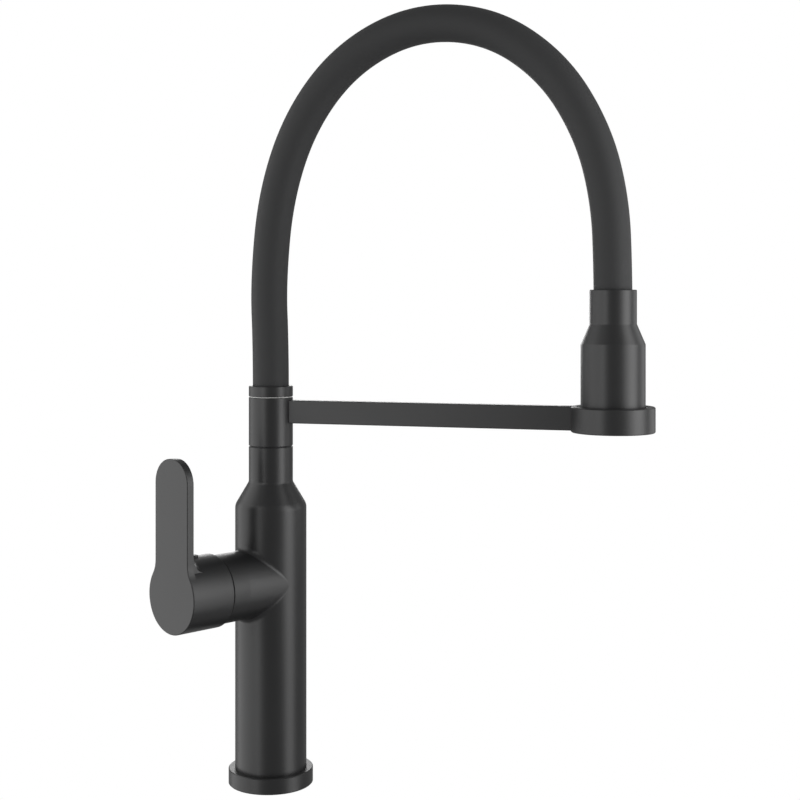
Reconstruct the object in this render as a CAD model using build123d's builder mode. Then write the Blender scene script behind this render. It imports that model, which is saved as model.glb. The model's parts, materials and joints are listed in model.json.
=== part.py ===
from build123d import *
from math import atan2, cos, pi, radians, sin, sqrt
import os

# A single-lever kitchen tap: a round column with the mixing cartridge in a side stub, a swivelling
# arm with a dock ring, and a rubber-sleeved hose arch that ends in a pull-down spray head.
# Millimetres.  The origin is the centre of the base flange's underside, +Z is up, the lever points
# along -X and the worktop's front edge is towards -Y.

# ---- driving dimensions -------------------------------------------------------------------------
FLANGE_R = 27.2
FLANGE_TOP = 10.0
FLANGE_LIP = 3.0
COLUMN_R = 23.0
COLUMN_BORE_R = 19.4
COLUMN_TOP = 179.7
CONE_TOP = 194.4
SHOULDER_ROUND = 8.0
NECK_ROUND = 2.5
NECK_R = 14.25
NECK_TOP = 217.2
NECK_BORE_R = 9.5
RUNNING_GAP = 0.05
BLOCK_LOW = 104.0
BLOCK_HIGH = 157.0
CHAMBER_TOP = 185.2
INSERT_TOP = 14.0
INLET_X = -5.5
INLET_Y = 7.5
INLET_THREAD_R = 4.5
INLET_THREAD_LONG = 9.0
WATERWAY_R = 3.5
TUBE_R = 4.9
TUBE_BORE_R = 3.9
TUBE_SOCKET = 4.0
STUD_X = 10.0
STUD_HOLE = 10.0
GROOVE_IN_R = 23.5
GROOVE_OUT_R = 26.0
GROOVE_DEEP = 1.5

STUB_Z = 130.4
STUB_R = 21.5
STUB_END = 47.0
STUB_CHEEK = 22.8
STUB_ROUND_FROM = 34.0
STUB_FILLET = 3.5
STUB_CHAMFER = 0.6
CAVITY_FLOOR = 12.0
CAVITY_R = 17.7

# stations are distances from the column's axis along the stub
PORT_OFFSET = 8.0
CAP_LOW = 12.8
FIXED_DISC_LOW = 17.6
MOVING_DISC_LOW = 20.84
CARRIER_LOW = 24.04
ROTOR_LOW = 30.35
ROTOR_LONG = 10.75
ROTOR_R = 13.55
CAP_R = 17.3
DISC_T = 3.2
DISC_SHIFT = -1.9
MOVING_DISC_R = 11.0
CART_NUT_LOW = 38.0
CART_NUT_TOP = 46.5
PIN_R = 2.0

PIVOT_D = 36.0
REST_TILT = 12.5
HUB_R = 22.9
HUB_BACK = 47.8
HUB_FACE = 79.1
HUB_CAVITY_R = 23.95
BLADE_T = 4.8
BLADE_W = 32.8
BLADE_TOP = 214.8
BLADE_CORNER_R = 15.2
BLADE_ROOT_R = 7.5
BLADE_NECK_R = 3.0
PLUG_PROUD = 0.9
HUB_EDGE = 0.8
HUB_RELIEF_R = 21.35
HUB_RELIEF_D = 55.8
STEM_SIDE = 8.0
STEM_REACH = 34.0
STEM_SOCKET_FROM = 20.0
STEM_FOOT = 9.0
GRUB_D = 62.0
GRUB_R = 2.45
PLUG_R = 2.85
PLUG_SEAT = 3.1

ARM_ANGLE = -61.6
ARM_REACH = 221.5
ARM_LOW = 232.35
ARM_HIGH = 247.2
ARM_T = 7.0
COLLAR_LOW = 217.7
COLLAR_TOP = 249.0
SPINDLE_LOW = 182.0
SPINDLE_TOP = 238.0
SPINDLE_BORE_R = 5.0
SEAL_GROOVES = (194.0, 206.0)
HOSE_SEAT_R = 7.3
HOSE_SEAT_Z = 246.0
ARM_STUD_R = 2.5
ARM_STUD_FROM = 8.6
ARM_STUD_LONG = 15.4
ARM_SCREW_R = 2.0
ARM_SCREW_FROM = 35.8
ARM_SCREW_LONG = 12.4
NUT_LOW = 249.45
NUT_TOP = 256.2
DOCK_LOW = 231.8
DOCK_R = 25.4
DOCK_BORE_R = 22.0
LINER_R = 19.8
LINER_LIP_R = 17.8

HEAD_R = 19.5
HEAD_LOW = 234.2
HEAD_CONE_LOW = 285.0
HEAD_CONE_TOP = 297.2
HEAD_NECK_R = 14.3
HEAD_TOP = 317.9
HEAD_ROUND = 1.5
HEAD_WEB_LOW = 283.0
HEAD_WEB_TOP = 290.0
SEAL_T = 1.5
HEAD_INNER_R = 16.8
HEAD_MOUTH_R = 17.7
HEAD_MOUTH_TOP = 239.5
VALVE_LOW = 273.0
VALVE_R = 7.9
GUIDE_R = 1.7
CORE_LOW = 268.0
CORE_TOP = 279.0
AERATOR_LOW = 238.0
AERATOR_TOP = 255.0
AERATOR_R = 10.4
FACE_LOW = 235.0
SPRAY_HOLE_R = 0.6

SLEEVE_R = 11.65
SLEEVE_BORE_R = 8.0
WATER_HOSE_R = 7.0
WATER_HOSE_BORE_R = 5.0
# route of the hose in the arm's upright plane: (distance from the column's axis, height)
HOSE_ROUTE = [
    (0.0, 251.0),
    (0.0, 282.0),
    (-1.8, 322.7),
    (3.6, 380.0),
    (21.4, 429.0),
    (53.0, 466.6),
    (97.6, 486.7),
    (145.6, 481.9),
    (185.0, 454.1),
    (209.4, 413.5),
    (219.8, 371.6),
    (221.5, 328.0),
    (221.5, 303.0),
]
WATER_HOSE_START = (0.0, 246.0)
WATER_HOSE_END = (221.5, 296.0)
ARC_SHARE = 0.45  # of the shorter run, from a corner to where its arc begins

DECK_STUD_R = 4.0
DECK_STUD_LOW = -62.0
HORSESHOE_TOP = -32.0
HORSESHOE_R = 25.0
HORSESHOE_SLOT = 28.0
RUBBER_T = 2.5
STEEL_T = 3.0
STUD_NUT_LONG = 12.0
STUD_NUT_FLAT = 6.5

RIM_REACH = 0.01
CUT_SLACK = 1.0
THREAD_FIT = 0.02

# ---- frames -------------------------------------------------------------------------------------
# In each frame the local X is a radius and the local Y the axis that turned pieces are turned about.
arm_dir = Vector(cos(radians(ARM_ANGLE)), sin(radians(ARM_ANGLE)), 0)
head_foot = arm_dir * ARM_REACH
COLUMN = Plane(origin=(0, 0, 0), x_dir=(1, 0, 0), z_dir=(0, -1, 0))
STUB = Plane(origin=(0, 0, STUB_Z), x_dir=(0, 0, 1), z_dir=(0, -1, 0))
ARM_PLANE = Plane(origin=(0, 0, 0), x_dir=arm_dir, z_dir=arm_dir.cross(Vector(0, 0, 1)))
HEAD = Plane(origin=head_foot, x_dir=arm_dir, z_dir=arm_dir.cross(Vector(0, 0, 1)))
PIVOT = Vector(-PIVOT_D, 0, STUB_Z)
tilt = radians(REST_TILT)
stem_dir = Vector(-cos(tilt), 0, sin(tilt))
STEM = Plane(origin=PIVOT, x_dir=(0, 1, 0), z_dir=stem_dir)
PIN = Plane(origin=PIVOT, x_dir=(1, 0, 0), z_dir=(0, 1, 0))
INLETS = ((INLET_X, INLET_Y), (INLET_X, -INLET_Y))
ARM_MIDDLE = (ARM_LOW + ARM_HIGH) / 2
ARM_STUD_Z = ARM_MIDDLE + 1.5


def half_section(outline, frame):
    """The filled outline of (radius, station) corners, in the frame's upright plane."""
    with BuildSketch(frame) as section:
        with BuildLine():
            Polyline(*outline, close=True)
        make_face()
    return section.sketch


def axis_of(frame):
    """The axis that a frame's turned pieces share."""
    return Axis(frame.origin, frame.y_dir)


def turned(outline, frame):
    """A piece turned about the frame's axis from the outline of its half section."""
    with BuildPart() as piece:
        revolve(half_section(outline, frame), axis=axis_of(frame))
    return piece


def ring(outer, inner, low, high, frame):
    """A plain ring between two stations."""
    return turned([(inner, low), (outer, low), (outer, high), (inner, high)], frame)


def o_rings(centre_r, wire_r, stations, frame):
    """Round-section seal rings at the given stations."""
    with BuildPart() as rings:
        for station in stations:
            with BuildSketch(frame):
                with Locations((centre_r, station)):
                    Circle(wire_r)
            revolve(axis=axis_of(frame))
    return rings


def rims_at(piece, height):
    """The round edges of a piece at a height."""
    return [e for e in piece.edges() if abs(e.center().Z - height) < RIM_REACH]


def at(frame, radius, station):
    """A plane across the frame's axis at a station, its origin shifted along local X by radius."""
    origin = frame.origin + frame.x_dir * radius + frame.y_dir * station
    return Plane(origin=origin, x_dir=frame.x_dir, z_dir=frame.y_dir)


def across_arm(along, height):
    """A plane across the arm, from a distance along it and a height; its local X points up."""
    return Plane(origin=arm_dir * along + Vector(0, 0, height), x_dir=(0, 0, 1), z_dir=arm_dir)


# ---- base ---------------------------------------------------------------------------------------
def make_base_flange():
    """The ring round the column's foot, with a lip under the column and a gasket groove below."""
    edge = 0.5
    lip_r = 20.0
    outline = [
        (lip_r, 0.0),
        (GROOVE_IN_R, 0.0),
        (GROOVE_IN_R, GROOVE_DEEP),
        (GROOVE_OUT_R, GROOVE_DEEP),
        (GROOVE_OUT_R, 0.0),
        (FLANGE_R - edge, 0.0),
        (FLANGE_R, edge),
        (FLANGE_R, FLANGE_TOP - edge),
        (FLANGE_R - edge, FLANGE_TOP),
        (COLUMN_R + RUNNING_GAP, FLANGE_TOP),
        (COLUMN_R + RUNNING_GAP, FLANGE_LIP),
        (lip_r, FLANGE_LIP),
    ]
    return turned(outline, COLUMN)


def make_base_gasket():
    """The rubber ring in the flange's groove, flush with its underside."""
    play = 0.1
    return ring(GROOVE_OUT_R - play, GROOVE_IN_R + play, 0.0, GROOVE_DEEP, COLUMN)


def make_base_insert():
    """The brass plug in the column's foot, with two inlets and the stud's thread."""
    with BuildPart() as insert:
        with BuildSketch(Plane.XY):
            Circle(COLUMN_BORE_R - RUNNING_GAP)
        extrude(amount=INSERT_TOP)
        with BuildSketch(Plane.XY):
            with Locations(*INLETS):
                Circle(INLET_THREAD_R)
        extrude(amount=INLET_THREAD_LONG, mode=Mode.SUBTRACT)
        with BuildSketch(Plane.XY):
            with Locations(*INLETS):
                Circle(WATERWAY_R)
        extrude(amount=INSERT_TOP, mode=Mode.SUBTRACT)
        with BuildSketch(Plane.XY):
            with Locations((STUD_X, 0)):
                Circle(DECK_STUD_R)
        extrude(amount=STUD_HOLE, mode=Mode.SUBTRACT)
    return insert


def make_stub():
    """The stub's outside: an oval as wide as the column that draws in to a round."""
    with BuildPart() as stub:
        with BuildSketch(at(STUB, 0, 0)):
            Ellipse(STUB_R, STUB_CHEEK)
        with BuildSketch(at(STUB, 0, STUB_ROUND_FROM)):
            Circle(STUB_R)
        loft()
    return stub.part


def make_body_shell():
    """The cast column: hollow foot, valve block with the cartridge's stub, upper chamber, neck."""
    edge = 0.3
    foot_r = 18.5
    block_r = 14.5
    block_cone = 4.0
    chamber_r = 16.5
    chamber_cone = 176.0
    clip_r = 12.8
    socket_r = 5.0
    elbow = 3.0
    port_r = 3.0
    outlet_from = -4.0
    riser_r = 4.0
    outside = [
        (0.0, FLANGE_LIP),
        (COLUMN_R, FLANGE_LIP),
        (COLUMN_R, COLUMN_TOP),
        (NECK_R, CONE_TOP),
        (NECK_R, NECK_TOP - edge),
        (NECK_R - edge, NECK_TOP),
        (0.0, NECK_TOP),
    ]
    foot_hollow = [
        (0.0, FLANGE_LIP),
        (COLUMN_BORE_R, FLANGE_LIP),
        (COLUMN_BORE_R, INSERT_TOP),
        (foot_r, INSERT_TOP),
        (foot_r, BLOCK_LOW - block_cone),
        (block_r, BLOCK_LOW),
        (0.0, BLOCK_LOW),
    ]
    top_hollow = [
        (0.0, BLOCK_HIGH),
        (chamber_r, BLOCK_HIGH),
        (chamber_r, chamber_cone),
        (clip_r, SPINDLE_LOW),
        (clip_r, CHAMBER_TOP),
        (NECK_BORE_R, CHAMBER_TOP),
        (NECK_BORE_R, NECK_TOP),
        (0.0, NECK_TOP),
    ]
    with BuildPart() as shell:
        revolve(half_section(outside, COLUMN), axis=axis_of(COLUMN))
        fillet(rims_at(shell, COLUMN_TOP), SHOULDER_ROUND)
        fillet(rims_at(shell, CONE_TOP), NECK_ROUND)
        add(make_stub())
        seam = shell.edges().filter_by(GeomType.CIRCLE, reverse=True)
        seam = seam.filter_by(GeomType.LINE, reverse=True)
        seam = [e for e in seam if e.bounding_box().min.X > -STUB_ROUND_FROM + CUT_SLACK]
        fillet(seam, STUB_FILLET)
        with BuildSketch(at(STUB, 0, STUB_ROUND_FROM)):
            Circle(STUB_R)
        extrude(amount=STUB_END - STUB_ROUND_FROM)
        rim = shell.faces().sort_by(Axis.X)[0].edges()
        chamfer(rim, STUB_CHAMFER)
        revolve(half_section(foot_hollow, COLUMN), axis=axis_of(COLUMN), mode=Mode.SUBTRACT)
        revolve(half_section(top_hollow, COLUMN), axis=axis_of(COLUMN), mode=Mode.SUBTRACT)
        with BuildSketch(at(STUB, 0, CAVITY_FLOOR)):
            Circle(CAVITY_R)
        extrude(amount=STUB_END - CAVITY_FLOOR, mode=Mode.SUBTRACT)
        # the two inlets rise in the block and turn into the cartridge's floor
        with BuildSketch(Plane.XY.offset(BLOCK_LOW)):
            with Locations(*INLETS):
                Circle(socket_r)
        extrude(amount=TUBE_SOCKET, mode=Mode.SUBTRACT)
        with BuildSketch(Plane.XY.offset(BLOCK_LOW)):
            with Locations(*INLETS):
                Circle(WATERWAY_R)
        extrude(amount=STUB_Z - PORT_OFFSET - BLOCK_LOW, mode=Mode.SUBTRACT)
        with BuildSketch(at(STUB, 0, -INLET_X - elbow)):
            with Locations((-PORT_OFFSET, INLET_Y), (-PORT_OFFSET, -INLET_Y)):
                Circle(port_r)
        extrude(amount=CAVITY_FLOOR + INLET_X + elbow, mode=Mode.SUBTRACT)
        # the mixed water leaves the floor's upper half and rises to the upper chamber
        with BuildSketch(at(STUB, 0, outlet_from)):
            with Locations((PORT_OFFSET, 0)):
                Circle(WATERWAY_R)
        extrude(amount=CAVITY_FLOOR - outlet_from, mode=Mode.SUBTRACT)
        with BuildSketch(Plane.XY.offset(STUB_Z + PORT_OFFSET)):
            Circle(riser_r)
        extrude(amount=BLOCK_HIGH - STUB_Z - PORT_OFFSET, mode=Mode.SUBTRACT)
    return shell


def make_inlet_tubes():
    """The hot and cold copper tubes from the base plug up into the valve block."""
    with BuildPart() as tubes:
        with BuildSketch(Plane.XY.offset(INSERT_TOP)):
            with Locations(*INLETS):
                Circle(TUBE_R)
                Circle(TUBE_BORE_R, mode=Mode.SUBTRACT)
        extrude(amount=BLOCK_LOW + TUBE_SOCKET - INSERT_TOP)
    return tubes


# ---- cartridge ----------------------------------------------------------------------------------
def port_circles(radius):
    """The two inlet ports and the outlet port, drawn on a plane across the stub."""
    with BuildSketch(mode=Mode.PRIVATE) as ports:
        with Locations((-PORT_OFFSET, INLET_Y), (-PORT_OFFSET, -INLET_Y), (PORT_OFFSET, 0)):
            Circle(radius)
    return ports.sketch


def make_cartridge_base():
    """The cartridge's lower cap: three ports, each with a pocket for its seal."""
    port_r = 3.0
    pocket_r = 4.6
    pocket_deep = 1.5
    with BuildPart() as base:
        with BuildSketch(at(STUB, 0, CAP_LOW)):
            Circle(CAP_R)
        extrude(amount=FIXED_DISC_LOW - CAP_LOW)
        with BuildSketch(at(STUB, 0, CAP_LOW)):
            add(port_circles(port_r))
        extrude(amount=FIXED_DISC_LOW - CAP_LOW, mode=Mode.SUBTRACT)
        with BuildSketch(at(STUB, 0, CAP_LOW)):
            add(port_circles(pocket_r))
        extrude(amount=pocket_deep, mode=Mode.SUBTRACT)
    return base


def make_port_seals():
    """Three rubber rings between the cartridge's base and the bore's floor."""
    outer_r = 4.5
    inner_r = 3.6
    seal_long = 2.3
    with BuildPart() as seals:
        with BuildSketch(at(STUB, 0, CAVITY_FLOOR)):
            add(port_circles(outer_r))
            add(port_circles(inner_r), mode=Mode.SUBTRACT)
        extrude(amount=seal_long)
    return seals


def make_fixed_disc():
    """The ceramic disc that stays still, with the three ports."""
    disc_r = 13.0
    port_r = 2.8
    with BuildPart() as disc:
        with BuildSketch(at(STUB, 0, FIXED_DISC_LOW)):
            Circle(disc_r)
            add(port_circles(port_r), mode=Mode.SUBTRACT)
        extrude(amount=DISC_T)
    return disc


def make_moving_disc():
    """The ceramic disc that opens and mixes, with its mixing hollow."""
    hollow_x = 4.0
    hollow_long = 12.0
    hollow_wide = 8.0
    hollow_deep = 1.8
    with BuildPart() as disc:
        with BuildSketch(at(STUB, DISC_SHIFT, MOVING_DISC_LOW)):
            Circle(MOVING_DISC_R)
        extrude(amount=DISC_T)
        with BuildSketch(at(STUB, hollow_x, MOVING_DISC_LOW)):
            SlotOverall(hollow_long, hollow_wide)
        extrude(amount=hollow_deep, mode=Mode.SUBTRACT)
    return disc


def make_disc_carrier():
    """The plastic slide on the moving disc, with the slot that the stem's foot works in."""
    carrier_t = 5.9
    slot_x = -1.95
    slot_floor = 24.6
    slot_deep = 5.4
    slot_wide = 6.0
    with BuildPart() as carrier:
        with BuildSketch(at(STUB, DISC_SHIFT, CARRIER_LOW)):
            Circle(MOVING_DISC_R)
        extrude(amount=carrier_t)
        with BuildSketch(at(STUB, slot_x, slot_floor)):
            Rectangle(slot_deep, slot_wide)
        extrude(amount=slot_deep, mode=Mode.SUBTRACT)
    return carrier


def make_cartridge_housing():
    """The cartridge's shell, from its base to the opening that the stem swings in."""
    shell_r = 17.4
    lip_r = 13.1
    disc_room_r = 15.2
    rotor_room_r = 13.6
    crown_r = 14.9
    mouth_r = 9.8
    ledge_d = 30.3
    roof_d = 41.2
    crown_d = 43.0
    outline = [
        (lip_r, FIXED_DISC_LOW),
        (shell_r, FIXED_DISC_LOW),
        (shell_r, CART_NUT_LOW),
        (crown_r, CART_NUT_LOW),
        (crown_r, crown_d),
        (mouth_r, crown_d),
        (mouth_r, roof_d),
        (rotor_room_r, roof_d),
        (rotor_room_r, ledge_d),
        (disc_room_r, ledge_d),
        (disc_room_r, FIXED_DISC_LOW + DISC_T),
        (lip_r, FIXED_DISC_LOW + DISC_T),
    ]
    return turned(outline, STUB)


def make_cartridge_nut():
    """The brass ring nut that holds the cartridge down, with four spanner notches."""
    bore_r = 15.0
    nut_r = 17.6
    notch_deep = 2.0
    with BuildPart() as nut:
        add(ring(nut_r, bore_r, CART_NUT_LOW, CART_NUT_TOP, STUB).part)
        with BuildSketch(at(STUB, 0, CART_NUT_TOP - notch_deep)):
            with PolarLocations((nut_r + bore_r) / 2, 4):
                Rectangle(4.0, 3.0)
        extrude(amount=notch_deep, mode=Mode.SUBTRACT)
    return nut


def make_trim_dome():
    """The domed cover ring that closes the stub round the stem, centred on the lever's pivot."""
    dome_r = 23.4
    shell_t = 1.5
    lip_r = 20.6
    mouth_r = 13.5
    inner_r = dome_r - shell_t
    lip_d = PIVOT_D + sqrt(dome_r**2 - lip_r**2)
    mouth_d = PIVOT_D + sqrt(dome_r**2 - mouth_r**2)
    inner_mouth_d = PIVOT_D + sqrt(inner_r**2 - mouth_r**2)
    inner_lip_r = 18.6
    inner_lip_d = PIVOT_D + sqrt(inner_r**2 - inner_lip_r**2)
    mid = radians(48.0)
    with BuildPart() as dome:
        with BuildSketch(STUB):
            with BuildLine():
                Line((inner_lip_r, STUB_END), (lip_r, STUB_END))
                Line((lip_r, STUB_END), (lip_r, lip_d))
                ThreePointArc(
                    (lip_r, lip_d),
                    (dome_r * sin(mid), PIVOT_D + dome_r * cos(mid)),
                    (mouth_r, mouth_d),
                )
                Line((mouth_r, mouth_d), (mouth_r, inner_mouth_d))
                ThreePointArc(
                    (mouth_r, inner_mouth_d),
                    (inner_r * sin(mid), PIVOT_D + inner_r * cos(mid)),
                    (inner_lip_r, inner_lip_d),
                )
                Line((inner_lip_r, inner_lip_d), (inner_lip_r, STUB_END))
            make_face()
        revolve(axis=axis_of(STUB))
    return dome


def make_stem_rotor():
    """The round carrier that turns in the housing and holds the stem's pin."""
    slot_long = 16.0
    slot_play = 0.4
    with BuildPart() as rotor:
        with BuildSketch(at(STUB, 0, ROTOR_LOW)):
            Circle(ROTOR_R)
        extrude(amount=ROTOR_LONG)
        with BuildSketch(at(STUB, 0, ROTOR_LOW)):
            Rectangle(slot_long, STEM_SIDE + slot_play)
        extrude(amount=ROTOR_LONG, mode=Mode.SUBTRACT)
        with BuildSketch(PIN):
            Circle(PIN_R)
        extrude(amount=ROTOR_R + CUT_SLACK, both=True, mode=Mode.SUBTRACT)
    return rotor


def make_pivot_pin():
    """The steel pin through the rotor and the stem."""
    half_long = 12.4
    with BuildPart() as pin:
        with BuildSketch(PIN):
            Circle(PIN_R)
        extrude(amount=half_long, both=True)
    return pin


def make_cartridge_stem():
    """The square stem: a ball foot in the carrier, the pin's hole and the end in the handle."""
    tail = 4.6
    edge = 1.0
    shank_r = 1.7
    shank_long = 5.0
    ball_r = 2.2
    with BuildPart() as stem:
        with BuildSketch(STEM.offset(-tail)):
            RectangleRounded(STEM_SIDE, STEM_SIDE, edge)
        extrude(amount=STEM_REACH + tail)
        with BuildSketch(STEM.offset(-STEM_FOOT)):
            Circle(shank_r)
        extrude(amount=shank_long)
        with Locations(PIVOT - stem_dir * STEM_FOOT):
            Sphere(ball_r)
        with BuildSketch(PIN):
            Circle(PIN_R + RUNNING_GAP)
        extrude(amount=STEM_SIDE, both=True, mode=Mode.SUBTRACT)
    return stem


# ---- lever --------------------------------------------------------------------------------------
def make_blade_root():
    """The hollow curve that runs from the hub's top into the back of the blade."""
    back = HUB_FACE - BLADE_T
    sunk_r = HUB_R - 2.0
    clear_of_hub = 10.0
    with BuildPart() as root:
        with BuildSketch(STUB):
            with BuildLine():
                start = (HUB_R, back - BLADE_ROOT_R)
                end = (HUB_R + BLADE_ROOT_R, back)
                knee = BLADE_ROOT_R * (1 - sqrt(0.5))
                ThreePointArc(start, (HUB_R + knee, back - knee), end)
                Polyline(end, (sunk_r, back), (sunk_r, back - BLADE_ROOT_R), start)
            make_face()
        revolve(axis=axis_of(STUB))
        with BuildSketch(Plane.XY.offset(STUB_Z + clear_of_hub)):
            with Locations((-HUB_FACE + clear_of_hub, 0)):
                Rectangle(4 * clear_of_hub, BLADE_W)
        extrude(amount=BLADE_TOP, mode=Mode.INTERSECT)
    return root.part


def make_hub():
    """The round hub, its back edge eased all round and cut away below for the lever's tilt."""
    below = 2 * HUB_R
    with BuildPart() as hub:
        with BuildSketch(at(STUB, 0, HUB_BACK)):
            Circle(HUB_R)
        extrude(amount=HUB_FACE - HUB_BACK)
        fillet(hub.faces().sort_by(Axis.X)[-1].edges(), HUB_EDGE)
        with BuildSketch(STUB):
            with BuildLine():
                Polyline(
                    (-HUB_RELIEF_R, HUB_BACK),
                    (-HUB_R, HUB_RELIEF_D),
                    (-below, HUB_RELIEF_D),
                    (-below, HUB_BACK),
                    close=True,
                )
            make_face()
        extrude(amount=HUB_R, both=True, mode=Mode.SUBTRACT)
    return hub.part


def make_lever_handle():
    """The handle: a round hub with a ball-shaped hollow, and a flat blade that stands up from it."""
    edge = 0.6
    waist_low = 15.0
    waist_high = 19.0
    grub_hole_low = 5.0
    grub_hole_r = 2.5
    plug_hole_r = 3.1
    fit = 0.04
    with BuildPart() as handle:
        add(make_hub())
        with BuildSketch(at(STUB, 0, HUB_FACE - BLADE_T)) as blade:
            Circle(HUB_R)
            height = BLADE_TOP - STUB_Z
            with Locations((height / 2, 0)):
                Rectangle(height, BLADE_W)
            top = blade.vertices().group_by(Axis.Z)[-1]
            fillet(top, BLADE_CORNER_R)
            waist = [v for v in blade.vertices() if waist_low < v.Z - STUB_Z < waist_high]
            fillet(waist, BLADE_NECK_R)
        extrude(amount=BLADE_T)
        add(make_blade_root())
        face_rim = handle.faces().sort_by(Axis.X)[0].edges()
        fillet(face_rim, edge)
        with Locations(PIVOT):
            Sphere(HUB_CAVITY_R, mode=Mode.SUBTRACT)
        with BuildSketch(STEM.offset(STEM_SOCKET_FROM)):
            Rectangle(STEM_SIDE + fit, STEM_SIDE + fit)
        extrude(amount=STEM_REACH - STEM_SOCKET_FROM, mode=Mode.SUBTRACT)
        with BuildSketch(Plane.XY.offset(STUB_Z + grub_hole_low)):
            with Locations((-GRUB_D, 0)):
                Circle(grub_hole_r)
        extrude(amount=HUB_R, mode=Mode.SUBTRACT)
        with BuildSketch(Plane.XY.offset(STUB_Z + HUB_R - PLUG_SEAT - RUNNING_GAP)):
            with Locations((-GRUB_D, 0)):
                Circle(plug_hole_r)
        extrude(amount=2 * PLUG_SEAT, mode=Mode.SUBTRACT)
    return handle


def make_grub_screw():
    """The socket grub screw that locks the handle to the stem."""
    low = 10.6
    long = 7.0
    socket_r = 1.45
    socket_deep = 2.5
    with BuildPart() as screw:
        with BuildSketch(Plane.XY.offset(STUB_Z + low)):
            with Locations((-GRUB_D, 0)):
                Circle(GRUB_R)
        extrude(amount=long)
        with BuildSketch(Plane.XY.offset(STUB_Z + low + long - socket_deep)):
            with Locations((-GRUB_D, 0)):
                RegularPolygon(socket_r, 6)
        extrude(amount=socket_deep, mode=Mode.SUBTRACT)
    return screw


def make_screw_plug():
    """The push-in cap over the grub screw, standing a little proud of the hub."""
    crown = 0.6
    with BuildPart() as plug:
        with BuildSketch(Plane.XY.offset(STUB_Z + HUB_R - PLUG_SEAT)):
            with Locations((-GRUB_D, 0)):
                Circle(PLUG_R)
        extrude(amount=PLUG_SEAT + PLUG_PROUD)
        fillet(plug.faces().sort_by(Axis.Z)[-1].edges(), crown)
    return plug


# ---- swivelling spout ---------------------------------------------------------------------------
def make_lower_washer():
    """The black glide washer between the neck and the collar."""
    washer_r = 13.3
    washer_t = 0.45
    return ring(washer_r, NECK_BORE_R + 0.3, NECK_TOP, NECK_TOP + washer_t, COLUMN)


def make_swivel_spindle():
    """The brass spigot that turns in the neck, with two seal grooves and a clip groove."""
    shaft_r = NECK_BORE_R - RUNNING_GAP
    clip_root_r = 8.4
    clip_low = 183.7
    clip_high = 185.1
    groove_r = 7.9
    groove_wide = 2.0
    outline = [
        (SPINDLE_BORE_R, SPINDLE_LOW),
        (shaft_r, SPINDLE_LOW),
        (shaft_r, clip_low),
        (clip_root_r, clip_low),
        (clip_root_r, clip_high),
        (shaft_r, clip_high),
    ]
    for low in SEAL_GROOVES:
        high = low + groove_wide
        outline += [(shaft_r, low), (groove_r, low), (groove_r, high), (shaft_r, high)]
    outline += [(shaft_r, SPINDLE_TOP), (SPINDLE_BORE_R, SPINDLE_TOP)]
    return turned(outline, COLUMN)


def make_spindle_seals():
    """Two O-rings in the spindle's grooves."""
    centre_r = 8.69
    wire_r = 0.77
    return o_rings(centre_r, wire_r, [low + 1.0 for low in SEAL_GROOVES], COLUMN)


def make_spindle_clip():
    """The spring clip that keeps the spindle in the neck."""
    low = 183.8
    clip_r = 11.6
    eye_r = 8.5
    clip_t = 1.2
    with BuildPart() as clip:
        with BuildSketch(Plane.XY.offset(low)):
            Circle(clip_r)
            Circle(eye_r, mode=Mode.SUBTRACT)
            with Locations((10.0, 0)):
                Rectangle(6.0, 7.0, mode=Mode.SUBTRACT)
        extrude(amount=clip_t)
    return clip


def make_swivel_collar():
    """The turning sleeve that carries the arm and the hose."""
    edge = 0.3
    spindle_r = NECK_BORE_R - RUNNING_GAP + THREAD_FIT
    outline = [
        (spindle_r, COLLAR_LOW),
        (NECK_R - edge, COLLAR_LOW),
        (NECK_R, COLLAR_LOW + edge),
        (NECK_R, COLLAR_TOP - edge),
        (NECK_R - edge, COLLAR_TOP),
        (HOSE_SEAT_R, COLLAR_TOP),
        (HOSE_SEAT_R, HOSE_SEAT_Z),
        (SPINDLE_BORE_R, HOSE_SEAT_Z),
        (SPINDLE_BORE_R, SPINDLE_TOP),
        (spindle_r, SPINDLE_TOP),
    ]
    with BuildPart() as collar:
        revolve(half_section(outline, COLUMN), axis=axis_of(COLUMN))
        with BuildSketch(across_arm(ARM_STUD_FROM - 0.1, ARM_STUD_Z)):
            Circle(ARM_STUD_R + THREAD_FIT)
        extrude(amount=NECK_R, mode=Mode.SUBTRACT)
    return collar


def make_arm_stud():
    """The threaded stud that joins the arm to the collar."""
    with BuildPart() as stud:
        with BuildSketch(across_arm(ARM_STUD_FROM, ARM_STUD_Z)):
            Circle(ARM_STUD_R)
        extrude(amount=ARM_STUD_LONG)
    return stud


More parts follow.
